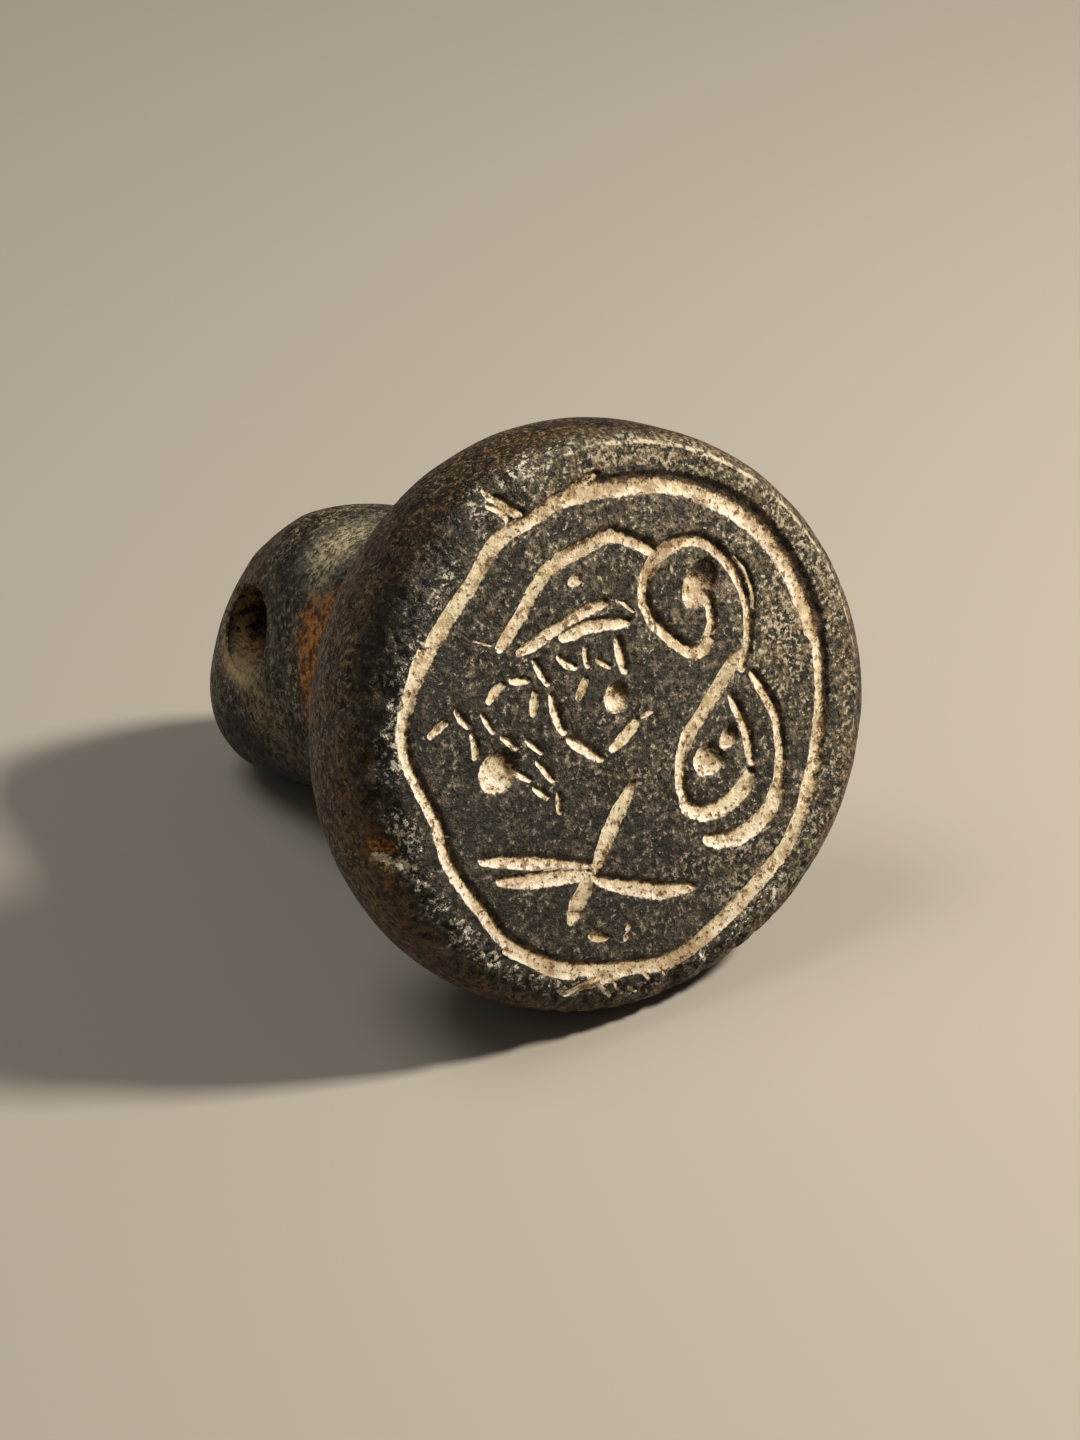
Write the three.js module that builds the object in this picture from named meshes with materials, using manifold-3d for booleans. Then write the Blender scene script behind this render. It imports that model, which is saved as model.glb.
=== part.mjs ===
// A stone stamp seal: a round head with an engraved face, and an oval handle with a hole for a cord.
// Seal frame while it is built: the axis runs along +Y from the centre of the face at the origin to the
// end of the handle, x to the right and z up as the face is looked at. Millimetres.
import * as THREE from 'three';
import { mergeVertices } from 'three/addons/utils/BufferGeometryUtils.js';
import Module from 'manifold-3d';

const wasm = await Module();
wasm.setup();

// Head
const HEAD_RADIUS = 17.25;
const HEAD_DEPTH = 12.0;
const FACE_MARGIN = 2.0; // how far the flat of the face stops short of the head's radius
const FACE_LEAN = 0.9; // on one side the flat reaches this much further out, to a crisper edge
const FACE_LEAN_TOWARDS = 70; // degrees round the face, from x towards z
const SHOULDER_DEPTH = 3.8; // from the face to the widest ring of the head
const SHOULDER_SHARPNESS = 4.2;
const BACK_RADIUS = 11.0; // where the domed back meets the root of the handle
const BACK_RISE = 0.4; // the middle of the back, hidden in the handle, stands this much further back
const HEAD_LOBES = [
  { turns: 1, towards: 330, size: 0.5 },
  { turns: 2, towards: 0, size: 0.18 },
  { turns: 3, towards: 50, size: -0.25 },
];

// Handle
const HANDLE_LENGTH = 27.0; // from the back of the head to the end
const HANDLE_HALF_WIDTH = 7.8;
const HANDLE_TOP = 9.3; // above the axis
const HANDLE_BOTTOM = 8.6; // below the axis
const HANDLE_ROOT = 5.0; // how deep the handle's core reaches into the head
const HANDLE_WAIST = 0.03; // the pinch behind the head, a share of the section
const HANDLE_FLARE = 0.12; // the swelling where it leaves the head, a share of the section
const FLARE_LENGTH = 3.2;
const HANDLE_SQUARENESS = 2.4; // 2 is an ellipse, larger is squarer
const END_ROUNDING = 8.3; // length of the rounded end
const END_SLANT = 0.5; // the end leans back by this share of the depth below the axis

// Hole for a cord, drilled from both sides, so it is narrowest in the middle
const HOLE_FROM_END = 8.8;
const HOLE_ABOVE_AXIS = 2.1;
const HOLE_THROAT_RADIUS = 1.7;
const HOLE_MOUTH_RADIUS = 2.6;
const HOLE_MOUTH_DEPTH = 2.2; // the worn funnel at each side

// Engraving: widths of the cutters, and the border line's place
const BORDER_INSET = 3.44; // from the head's radius to the border line
const BORDER_WIDTH = 1.15;
const SCROLL_WIDTH = 0.85;
const STROKE_WIDTH = 0.65;
const CUT_DEPTH_SHARE = 0.5; // depth of a cut as a share of its width
const DRAWN_BORDER_RADIUS = 13.8; // the border's radius in the drawing units used for the motifs
const DRAWN_SHIFT = 0.25; // the motifs sit this far to the right of the border's middle
const BORDER_LOBES = [
  { turns: 1, towards: 265, size: 0.39 },
  { turns: 2, towards: 137, size: 0.18 },
  { turns: 3, towards: 38, size: 0.2 },
  { turns: 4, towards: 350, size: 0.21 },
  { turns: 5, towards: 34, size: 0.11 },
];

// How it lies: tipped back on the rim and the handle's end, on two small flats in one plane
const REST_ROLL = 11.5; // degrees about the seal's own axis
const REST_FLAT_DEPTH = 0.3;

// Fineness
const HEAD_FACETS = 72;
const HEAD_RINGS = 7;
const HANDLE_FACETS = 48;
const HANDLE_RINGS = 10;
const HOLE_FACETS = 32;
const CUT_SIDES = 6;
const FACET_LENGTH = 1.3; // along a cut

const HANDLE_END = HEAD_DEPTH + HANDLE_LENGTH;
const WIDEST = HANDLE_END + HEAD_RADIUS;
const degrees = THREE.MathUtils.degToRad;

// A closed solid from a geometry: corners joined, slivers dropped, faces outwards
function solidOf(geometry) {
  const bare = geometry.clone();
  bare.deleteAttribute('normal');
  bare.deleteAttribute('uv');
  const merged = mergeVertices(bare, 1e-4);
  const corners = merged.index.array;
  const kept = [];
  for (let i = 0; i < corners.length; i += 3) {
    const [a, b, c] = [corners[i], corners[i + 1], corners[i + 2]];
    if (a !== b && b !== c && c !== a) kept.push(a, b, c);
  }
  const build = (tris) =>
    new wasm.Manifold(
      new wasm.Mesh({
        numProp: 3,
        vertProperties: new Float32Array(merged.attributes.position.array),
        triVerts: new Uint32Array(tris),
      })
    );
  const made = build(kept);
  if (made.volume() > 0) return made;
  for (let i = 0; i < kept.length; i += 3) [kept[i], kept[i + 1]] = [kept[i + 1], kept[i]];
  return build(kept);
}

// Moves every corner of a geometry by a rule
function reshape(geometry, rule) {
  const place = geometry.attributes.position;
  const p = new THREE.Vector3();
  for (let i = 0; i < place.count; i += 1) {
    p.fromBufferAttribute(place, i);
    rule(p);
    place.setXYZ(i, p.x, p.y, p.z);
  }
  return geometry;
}

// Sum of slow waves round the circle, so that a ring is a hand-cut one
function lobes(list, angle) {
  return list.reduce((sum, l) => sum + l.size * Math.cos(l.turns * (angle - degrees(l.towards))), 0);
}

// How much further out the shoulder stands on the side that the face leans to
function faceReach(angle, depth) {
  const side = ((1 + Math.cos(angle - degrees(FACE_LEAN_TOWARDS))) / 2) ** 2;
  return FACE_LEAN * side * Math.max(1 - depth / SHOULDER_DEPTH, 0) ** SHOULDER_SHARPNESS;
}

// Head: a lathe-turned form whose radius wanders a little round the rim
function headSolid() {
  const ease = FACE_MARGIN / HEAD_RADIUS;
  const profile = [new THREE.Vector2(0, 0)];
  for (let i = 0; i <= HEAD_RINGS; i += 1) {
    const depth = SHOULDER_DEPTH * (i / HEAD_RINGS) ** 1.6;
    const rise = ease * (1 - depth / SHOULDER_DEPTH) ** SHOULDER_SHARPNESS;
    profile.push(new THREE.Vector2(HEAD_RADIUS * (1 - rise), depth));
  }
  const drop = HEAD_RADIUS - BACK_RADIUS;
  for (let i = 1; i <= HEAD_RINGS; i += 1) {
    const turn = (Math.PI / 2) * (i / HEAD_RINGS);
    const radius = BACK_RADIUS + drop * Math.cos(turn);
    const depth = SHOULDER_DEPTH + (HEAD_DEPTH - SHOULDER_DEPTH) * Math.sin(turn);
    profile.push(new THREE.Vector2(radius, depth));
  }
  profile.push(new THREE.Vector2(0, HEAD_DEPTH + BACK_RISE));
  const lathe = new THREE.LatheGeometry(profile, HEAD_FACETS);
  return solidOf(
    reshape(lathe, (p) => {
      const radius = Math.hypot(p.x, p.z);
      if (radius < 1e-6) return;
      const angle = Math.atan2(p.z, p.x);
      const share = 1 + lobes(HEAD_LOBES, angle) / HEAD_RADIUS + faceReach(angle, p.y) / radius;
      p.x *= share;
      p.z *= share;
    })
  );
}

// Size of the handle's section at a depth behind the face, 1 being its full size
function handleShare(depth) {
  const behind = (depth - HEAD_DEPTH) / FLARE_LENGTH;
  const flare = HANDLE_FLARE * Math.exp(-Math.max(behind, 0) * 1.6);
  const waist = HANDLE_WAIST * Math.sin(Math.PI * THREE.MathUtils.clamp(behind / 5, 0, 1));
  const end = THREE.MathUtils.clamp((depth - (HANDLE_END - END_ROUNDING)) / END_ROUNDING, 0, 1);
  return (1 + flare - waist) * (1 - end ** 2.5) ** 0.55;
}

// Handle: an oval bar with a slanting rounded end
function handleSolid() {
  const start = HEAD_DEPTH - HANDLE_ROOT;
  const depths = [start];
  const straight = HANDLE_END - END_ROUNDING;
  for (let i = 0; i <= HANDLE_RINGS; i += 1) {
    depths.push(HEAD_DEPTH - 1 + (straight - HEAD_DEPTH + 1) * (i / HANDLE_RINGS) ** 1.3);
  }
  for (let i = 1; i < HANDLE_RINGS; i += 1) {
    depths.push(straight + END_ROUNDING * Math.sin((Math.PI / 2) * (i / HANDLE_RINGS)));
  }
  const profile = [new THREE.Vector2(0, start)];
  depths.forEach((depth) => profile.push(new THREE.Vector2(handleShare(depth), depth)));
  profile.push(new THREE.Vector2(0, HANDLE_END));
  const halfHeight = (HANDLE_TOP + HANDLE_BOTTOM) / 2;
  const lift = (HANDLE_TOP - HANDLE_BOTTOM) / 2;
  const power = 2 / HANDLE_SQUARENESS;
  const lathe = new THREE.LatheGeometry(profile, HANDLE_FACETS);
  return solidOf(
    reshape(lathe, (p) => {
      const share = Math.hypot(p.x, p.z);
      const angle = Math.atan2(p.z, p.x);
      const across = Math.sign(p.x) * Math.abs(Math.cos(angle)) ** power;
      const up = Math.sign(p.z) * Math.abs(Math.sin(angle)) ** power;
      const along = THREE.MathUtils.clamp((p.y - HEAD_DEPTH) / HANDLE_LENGTH, 0, 1);
      p.x = share < 1e-6 ? 0 : across * HANDLE_HALF_WIDTH * share;
      p.z = share < 1e-6 ? 0 : up * halfHeight * share + lift * Math.min(share, 1);
      p.y -= END_SLANT * along * along * p.z;
    })
  );
}

// Cord hole: a throat with a funnel at each side, across the handle
function holeSolid() {
  const half = HANDLE_HALF_WIDTH * (1 + HANDLE_FLARE) + 1;
  const mouth = HANDLE_HALF_WIDTH - HOLE_MOUTH_DEPTH;
  const outer = HOLE_MOUTH_RADIUS * (half / HANDLE_HALF_WIDTH);
  const profile = [
    [0, -half],
    [outer, -half],
    [HOLE_MOUTH_RADIUS, -HANDLE_HALF_WIDTH],
    [HOLE_THROAT_RADIUS, -mouth],
    [HOLE_THROAT_RADIUS, mouth],
    [HOLE_MOUTH_RADIUS, HANDLE_HALF_WIDTH],
    [outer, half],
    [0, half],
  ].map(([r, along]) => new THREE.Vector2(r, along));
  const lathe = new THREE.LatheGeometry(profile, HOLE_FACETS);
  lathe.rotateZ(Math.PI / 2);
  lathe.translate(0, HANDLE_END - HOLE_FROM_END, HOLE_ABOVE_AXIS);
  return solidOf(lathe);
}

// Motifs are drawn in units where the border has its drawn radius, then scaled to the real border
const BORDER_RADIUS = HEAD_RADIUS - BORDER_INSET;
const DRAWING_SCALE = BORDER_RADIUS / DRAWN_BORDER_RADIUS;

// A place in drawing units, as a point on the face
function onFace(x, z) {
  return new THREE.Vector3((x + DRAWN_SHIFT) * DRAWING_SCALE, 0, z * DRAWING_SCALE);
}

// A cut along a smooth line on the face
function cut(points, width) {
  const line = new THREE.CatmullRomCurve3(
    points.map(([x, z]) => onFace(x, z))
  );
  const section = new THREE.Shape();
  for (let i = 0; i < CUT_SIDES; i += 1) {
    const turn = (2 * Math.PI * i) / CUT_SIDES;
    const reach = width * CUT_DEPTH_SHARE;
    section[i ? 'lineTo' : 'moveTo'](reach * Math.cos(turn), reach * Math.sin(turn));
  }
  section.closePath();
  const steps = Math.max(2, Math.round(line.getLength() / FACET_LENGTH));
  return solidOf(new THREE.ExtrudeGeometry(section, { steps, bevelEnabled: false, extrudePath: line }));
}

// A drilled dot or a spindle-shaped cut: length, width and the way it points
function gouge({ at, length, width, towards = 0 }) {
  const ball = new THREE.SphereGeometry(0.5, 10, 6);
  ball.rotateX(Math.PI / 2);
  ball.scale(length, width * 1.1, width);
  ball.rotateY(-degrees(towards));
  const middle = onFace(at[0], at[1]);
  ball.translate(middle.x, middle.y, middle.z);
  return solidOf(ball);
}

// Points of a scroll: radii at equal steps of angle round a centre
function scroll({ centre, from, step, radii }) {
  return radii.map((r, i) => {
    const angle = degrees(from + step * i);
    return [centre[0] + r * Math.cos(angle), centre[1] + r * Math.sin(angle)];
  });
}

// Border line: one wandering ring, with the two places where the engraver's strokes overshoot
function borderCuts() {
  const ring = new THREE.TorusGeometry(BORDER_RADIUS, BORDER_WIDTH / 2, CUT_SIDES, 60);
  ring.rotateX(Math.PI / 2);
  reshape(ring, (p) => {
    const share = 1 + lobes(BORDER_LOBES, Math.atan2(p.z, p.x)) / BORDER_RADIUS;
    p.x *= share;
    p.z *= share;
  });
  return [
    solidOf(ring),
    gouge({ at: [-3.6, 13.4], length: 5.4, width: STROKE_WIDTH, towards: 28 }),
    gouge({ at: [-3.6, -14.7], length: 6.2, width: SCROLL_WIDTH, towards: -8 }),
  ];
}

// Two linked scrolls on the right, each round a drilled dot, and an arc outside the lower one
function scrollCuts() {
  const upper = scroll({
    centre: [5.0, 6.6],
    from: -60,
    step: -35,
    radii: [2.3, 2.9, 2.9, 3.1, 3.5, 3.8, 3.6, 3.4, 3.3, 3.5, 4.1],
  });
  upper.unshift([5.3, 6.5]);
  upper.push([8.2, 2.3]);
  const lower = scroll({
    centre: [6.3, -3.0],
    from: 105,
    step: 35,
    radii: [3.9, 2.7, 2.3, 2.6, 2.8, 2.6, 2.5, 2.6],
  });
  lower.unshift([8.1, 3.0]);
  const outer = scroll({
    centre: [6.9, -3.3],
    from: 68,
    step: -27,
    radii: [5.2, 4.6, 4.2, 4.0, 4.2, 4.3, 4.4],
  });
  return [
    cut(upper, SCROLL_WIDTH),
    cut(lower, SCROLL_WIDTH),
    cut(outer, SCROLL_WIDTH),
    cut([[7.3, 0.4], [8.4, -1.4], [8.9, -3.4]], STROKE_WIDTH),
    gouge({ at: [5.2, 7.4], length: 2.2, width: 1.6, towards: 60 }),
    gouge({ at: [6.0, -2.9], length: 2.1, width: 1.9 }),
    gouge({ at: [7.4, -1.8], length: 1.4, width: 1.2, towards: 60 }),
  ];
}

// Wing-like arc at the top, and the dots beside the motifs
function wingCuts() {
  return [
    cut([[-8.3, 4.9], [-6.8, 6.9], [-5.3, 8.9], [-3.6, 9.7]], SCROLL_WIDTH),
    cut([[-4.6, 9.3], [-2.4, 10.2], [-0.6, 10.8], [0.9, 10.2], [2.2, 9.4]], SCROLL_WIDTH),
    gouge({ at: [-3.3, 8.2], length: 1.2, width: STROKE_WIDTH, towards: 25 }),
    gouge({ at: [-8.5, -2.2], length: 2.8, width: 2.3, towards: 35 }),
    gouge({ at: [-0.5, 1.5], length: 1.6, width: 1.5 }),
    gouge({ at: [-1.7, -12.3], length: 1.4, width: STROKE_WIDTH }),
    gouge({ at: [0.6, -12.3], length: 0.9, width: STROKE_WIDTH }),
  ];
}

// Rows of shallow short strokes in the middle, none touching another; they are no signs and spell nothing
function strokeCuts() {
  const rows = [
    [[-7.1, 4.4], [-3.9, 5.8], [-1.5, 6.7]],
    [[-4.2, 4.9], [-1.9, 5.4], [0.1, 5.5]],
    [[-4.3, 3.9], [-3.4, 3.3]],
    [[-2.6, 4.2], [-2.5, 3.3]],
    [[-2.6, 2.4], [-3.1, 1.5]],
    [[-1.7, 3.5], [-1.0, 2.9]],
    [[-0.4, 4.4], [0.1, 2.9]],
    [[-12.8, 0.3], [-11.9, 0.9]],
    [[-11.1, 1.4], [-10.5, 0.6]],
    [[-10.1, -0.2], [-10.0, -1.2]],
    [[-9.4, 0.9], [-8.7, 0.1]],
    [[-9.0, 1.9], [-8.1, 2.7]],
    [[-7.4, 2.9], [-6.5, 2.8]],
    [[-6.0, 1.9], [-6.1, 0.9]],
    [[-8.0, -0.4], [-7.3, -0.9]],
    [[-6.4, -0.7], [-5.6, -1.3]],
    [[-5.9, 3.7], [-5.1, 2.4]],
    [[-4.8, 1.6], [-4.1, -0.3]],
    [[-3.6, -0.9], [-1.6, -2.1]],
    [[-0.7, -1.5], [1.3, 0.1]],
    [[-5.8, -2.0], [-4.8, -3.1]],
    [[-6.7, -2.9], [-5.4, -3.9]],
    [[-4.4, -3.9], [-4.4, -4.9]],
  ];
  return rows.map((points) => cut(points, STROKE_WIDTH));
}

// Crossing spindle-shaped strokes below
function crossCuts() {
  return [
    gouge({ at: [-0.7, -6.1], length: 5.6, width: 1.1, towards: 61 }),
    gouge({ at: [-5.7, -7.5], length: 7.6, width: 0.9, towards: -6 }),
    gouge({ at: [-5.2, -8.4], length: 6.2, width: 1.0, towards: 1 }),
    gouge({ at: [1.4, -9.6], length: 7.2, width: 1.3, towards: -12 }),
    gouge({ at: [-2.9, -10.0], length: 3.0, width: 1.0, towards: 62 }),
  ];
}

// Chips knocked out of the shoulder of the face
function chipCuts() {
  const places = [
    { towards: 201, size: 2.6 },
    { towards: 120, size: 2.2 },
    { towards: 140, size: 1.8 },
    { towards: 168, size: 1.6 },
  ];
  return places.map(({ towards, size }) => {
    const chip = new THREE.IcosahedronGeometry(size, 1);
    chip.scale(0.7, 0.5, 1);
    chip.rotateY(-degrees(towards));
    const reach = HEAD_RADIUS - FACE_MARGIN / 4 + size / 6;
    chip.translate(reach * Math.cos(degrees(towards)), -size / 8, reach * Math.sin(degrees(towards)));
    return solidOf(chip);
  });
}

// Turns the seal from its own frame into the lying one, for a tip-back angle in degrees
function lay(solid, tip) {
  return solid.rotate([0, REST_ROLL, 0]).rotate([-tip, 0, 0]);
}

// Tip-back angle at which the rim and the handle's end touch the ground together
function tipAngle(head, handle) {
  let low = 0;
  let high = 60;
  for (let i = 0; i < 40; i += 1) {
    const tip = (low + high) / 2;
    const rimLow = lay(head, tip).boundingBox().min[2];
    const endLow = lay(handle, tip).boundingBox().min[2];
    if (endLow > rimLow) low = tip;
    else high = tip;
  }
  return (low + high) / 2;
}

const head = headSolid();
const handle = handleSolid();
const tip = tipAngle(head, handle);
let seal = head.add(handle).subtract(holeSolid());
const cuts = [borderCuts(), scrollCuts(), wingCuts(), strokeCuts(), crossCuts(), chipCuts()].flat();
seal = seal.subtract(wasm.Manifold.union(cuts));

// Laid down on its two flats: the ground takes a thin slice off the rim and off the handle's end
let lying = lay(seal, tip);
lying = lying.translate([0, 0, -lying.boundingBox().min[2] - REST_FLAT_DEPTH]);
const above = wasm.Manifold.cube([4 * WIDEST, 4 * WIDEST, 2 * WIDEST], true).translate([0, 0, WIDEST]);
lying = lying.intersect(above);
const box = lying.boundingBox();
lying = lying.translate([-(box.min[0] + box.max[0]) / 2, -(box.min[1] + box.max[1]) / 2, 0]);

// Back to a mesh with flat facets
const made = lying.getMesh();
const shape = new THREE.BufferGeometry();
shape.setAttribute('position', new THREE.BufferAttribute(new Float32Array(made.vertProperties), 3));
shape.setIndex(new THREE.BufferAttribute(new Uint32Array(made.triVerts), 1));
shape.computeVertexNormals();

const stone = new THREE.MeshStandardMaterial({ color: 0x4b463f, roughness: 0.62, metalness: 0 });
const sealMatrix = new THREE.Mesh(shape, stone);
sealMatrix.name = 'seal_matrix';
const group = new THREE.Group();
group.add(sealMatrix);

export default group;
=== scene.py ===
import math

import bmesh
import bpy
import numpy as np
from mathutils import Matrix, Vector, noise


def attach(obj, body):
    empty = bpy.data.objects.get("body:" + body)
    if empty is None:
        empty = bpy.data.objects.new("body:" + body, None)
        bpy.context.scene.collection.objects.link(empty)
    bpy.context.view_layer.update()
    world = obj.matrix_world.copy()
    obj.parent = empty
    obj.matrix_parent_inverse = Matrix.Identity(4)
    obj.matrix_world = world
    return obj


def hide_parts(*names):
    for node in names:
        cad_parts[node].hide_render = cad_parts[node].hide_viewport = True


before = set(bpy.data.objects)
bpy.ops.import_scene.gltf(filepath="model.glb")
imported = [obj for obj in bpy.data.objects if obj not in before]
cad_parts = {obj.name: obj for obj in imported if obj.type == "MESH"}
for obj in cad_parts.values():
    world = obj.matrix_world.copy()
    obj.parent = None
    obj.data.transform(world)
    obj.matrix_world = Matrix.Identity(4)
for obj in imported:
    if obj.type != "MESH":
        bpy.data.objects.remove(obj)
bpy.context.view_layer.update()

# Seal blank: one pebble of dark soft stone, cut and ground to a round head with a domed back that runs into
# an oval handle. It is shaped in millimetres in its own frame: the axis along +Y from the middle of the face,
# x to the right of the face and z up.
MM = 0.001
HEAD_RADIUS = 17.25
HEAD_DEPTH = 12.0
FACE_MARGIN = 2.0
FACE_LEAN = 0.9
FACE_LEAN_TOWARDS = 70
SHOULDER_DEPTH = 3.8
SHOULDER_SHARPNESS = 4.2
BACK_RADIUS = 11.0
BACK_RISE = 0.4
HEAD_LOBES = ((1, 330, 0.5), (2, 0, 0.18), (3, 50, -0.25))  # waves round the rim, degrees to a crest, height
HEAD_SIDES = 240
HEAD_STEPS = 24  # along the shoulder, and along the back

HANDLE_LENGTH = 27.0
HANDLE_HALF_WIDTH = 7.8
HANDLE_TOP = 9.3
HANDLE_BOTTOM = 8.6
HANDLE_ROOT = 5.0
HANDLE_WAIST = 0.03
WAIST_LENGTH = 16.0
HANDLE_FLARE = 0.12
FLARE_LENGTH = 2.0
HANDLE_SQUARENESS = 2.4
END_ROUNDING = 8.3
END_FULLNESS = 2.5
END_BLUNTNESS = 0.55
END_SLANT = 0.5
HANDLE_SIDES = 160
HANDLE_STEPS = 50
HANDLE_END = HEAD_DEPTH + HANDLE_LENGTH

HOLE_FROM_END = 8.8
HOLE_ABOVE_AXIS = 2.1
HOLE_THROAT_RADIUS = 1.7
HOLE_MOUTH_RADIUS = 2.6
HOLE_MOUTH_DEPTH = 2.2
FUNNEL_BEND = (0.1, 0.9)  # how far the worn funnel sags inwards, and how far from its narrow end
HOLE_SIDES = 48
CUTTER_PAST = 1.0

COARSE_GRAIN = 0.2  # mesh spacing on the back and the handle
FINE_DEPTH = 0.55  # how far behind the face the finer mesh for the engraving reaches
CORNER_DEPTH = 1.5
CORNER_WIDTH = 2.2
CORNER_PASSES = 14


def lobes(waves, angle):
    """Slow waves round the circle: what makes a hand-cut ring wander."""
    return sum(size * np.cos(turns * (angle - math.radians(towards))) for turns, towards, size in waves)


def turned(profile, steps):
    """A closed form spun round the Y axis from (radius, along) points that start and end on the axis."""
    bm = bmesh.new()
    verts = [bm.verts.new((r, along, 0.0)) for r, along in profile]
    edges = [bm.edges.new(pair) for pair in zip(verts, verts[1:])]
    bmesh.ops.spin(
        bm,
        geom=verts + edges,
        cent=(0, 0, 0),
        axis=(0, 1, 0),
        angle=2 * math.pi,
        steps=steps,
        use_merge=True,
        use_duplicate=False,
    )
    bmesh.ops.remove_doubles(bm, verts=bm.verts, dist=1e-4)
    bmesh.ops.recalc_face_normals(bm, faces=bm.faces)
    return bm


def as_object(bm, name):
    """The form as a mesh object in the scene; the form itself is used up."""
    mesh = bpy.data.meshes.new(name)
    bm.to_mesh(mesh)
    bm.free()
    piece = bpy.data.objects.new(name, mesh)
    bpy.context.scene.collection.objects.link(piece)
    return piece


def finished_mesh(piece):
    """The piece's mesh with its modifiers applied, as a new mesh."""
    graph = bpy.context.evaluated_depsgraph_get()
    return bpy.data.meshes.new_from_object(piece.evaluated_get(graph))


# Head: flat face, shoulder, quarter-round back
head_profile = [(0.0, 0.0)]
for k in range(HEAD_STEPS + 1):
    depth = SHOULDER_DEPTH * (k / HEAD_STEPS) ** 1.6  # closer together near the face
    rise = FACE_MARGIN / HEAD_RADIUS * (1 - depth / SHOULDER_DEPTH) ** SHOULDER_SHARPNESS
    head_profile.append((HEAD_RADIUS * (1 - rise), depth))
for k in range(1, HEAD_STEPS + 1):
    turn = math.pi / 2 * k / HEAD_STEPS
    out = BACK_RADIUS + (HEAD_RADIUS - BACK_RADIUS) * math.cos(turn)
    head_profile.append((out, SHOULDER_DEPTH + (HEAD_DEPTH - SHOULDER_DEPTH) * math.sin(turn)))
head_profile.append((0.0, HEAD_DEPTH + BACK_RISE))
head_form = turned(head_profile, HEAD_SIDES)
for v in head_form.verts:
    out = math.hypot(v.co.x, v.co.z)
    angle = math.atan2(v.co.z, v.co.x)
    if out > 1e-6:
        side = ((1 + math.cos(angle - math.radians(FACE_LEAN_TOWARDS))) / 2) ** 2
        reach = FACE_LEAN * side * max(1 - v.co.y / SHOULDER_DEPTH, 0) ** SHOULDER_SHARPNESS
        share = 1 + lobes(HEAD_LOBES, angle) / HEAD_RADIUS + reach / out
        v.co.x *= share
        v.co.z *= share


def handle_share(depth):
    """Size of the handle's section at a depth behind the face, 1 being its full size."""
    behind = max(depth - HEAD_DEPTH, 0)
    flare = HANDLE_FLARE * math.exp(-behind / FLARE_LENGTH)
    waist = HANDLE_WAIST * math.sin(math.pi * min(behind / WAIST_LENGTH, 1))
    end = min(max((depth - (HANDLE_END - END_ROUNDING)) / END_ROUNDING, 0), 1)
    return (1 + flare - waist) * (1 - end**END_FULLNESS) ** END_BLUNTNESS


handle_start = HEAD_DEPTH - HANDLE_ROOT
end_start = HANDLE_END - END_ROUNDING
handle_depths = list(np.linspace(handle_start, end_start, HANDLE_STEPS))
handle_depths += [end_start + END_ROUNDING * math.sin(math.pi / 2 * k / 24) for k in range(1, 24)]
handle_profile = [(0.0, handle_start)] + [(handle_share(d), d) for d in handle_depths] + [(0.0, HANDLE_END)]
handle_form = turned(handle_profile, HANDLE_SIDES)
for v in handle_form.verts:
    share = math.hypot(v.co.x, v.co.z)
    angle = math.atan2(v.co.z, v.co.x)
    power = 2 / HANDLE_SQUARENESS
    along = min(max((v.co.y - HEAD_DEPTH) / HANDLE_LENGTH, 0), 1)
    if share > 1e-6:
        half_height = (HANDLE_TOP + HANDLE_BOTTOM) / 2
        v.co.x = math.copysign(abs(math.cos(angle)) ** power, v.co.x) * HANDLE_HALF_WIDTH * share
        v.co.z = math.copysign(abs(math.sin(angle)) ** power, v.co.z) * half_height * share
        v.co.z += (HANDLE_TOP - HANDLE_BOTTOM) / 2 * min(share, 1)
    v.co.y -= END_SLANT * along * along * v.co.z

# Cord hole: bored in from both sides, with a worn funnel at each mouth
half = HANDLE_HALF_WIDTH * (1 + HANDLE_FLARE) + CUTTER_PAST
mouth = HANDLE_HALF_WIDTH - HOLE_MOUTH_DEPTH
outer = HOLE_MOUTH_RADIUS * half / HANDLE_HALF_WIDTH
funnel = [
    (outer, half),
    (HOLE_MOUTH_RADIUS, HANDLE_HALF_WIDTH),
    ((HOLE_MOUTH_RADIUS + HOLE_THROAT_RADIUS) / 2 - FUNNEL_BEND[0], mouth + FUNNEL_BEND[1]),
    (HOLE_THROAT_RADIUS, mouth),
]
hole_profile = [(0.0, half)] + funnel + [(r, -along) for r, along in reversed(funnel)] + [(0.0, -half)]
hole_form = turned(hole_profile, HOLE_SIDES)
across_handle = Matrix.Rotation(-math.pi / 2, 3, "Z")
bmesh.ops.rotate(hole_form, verts=hole_form.verts, cent=(0, 0, 0), matrix=across_handle)
bmesh.ops.translate(hole_form, verts=hole_form.verts, vec=(0, HANDLE_END - HOLE_FROM_END, HOLE_ABOVE_AXIS))

# One stone: the three forms become one closed skin of even grain
blank = as_object(head_form, "blank")
handle_body = as_object(handle_form, "handle_body")
hole_body = as_object(hole_form, "hole_body")
for other, how in ((handle_body, "UNION"), (hole_body, "DIFFERENCE")):
    cut = blank.modifiers.new(how, "BOOLEAN")
    cut.operation = how
    cut.object = other
    cut.solver = "EXACT"
grain = blank.modifiers.new("grain", "REMESH")
grain.mode = "VOXEL"
grain.voxel_size = COARSE_GRAIN
stone_skin = finished_mesh(blank)
for spent in (blank, handle_body, hole_body):
    bpy.data.objects.remove(spent)

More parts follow.
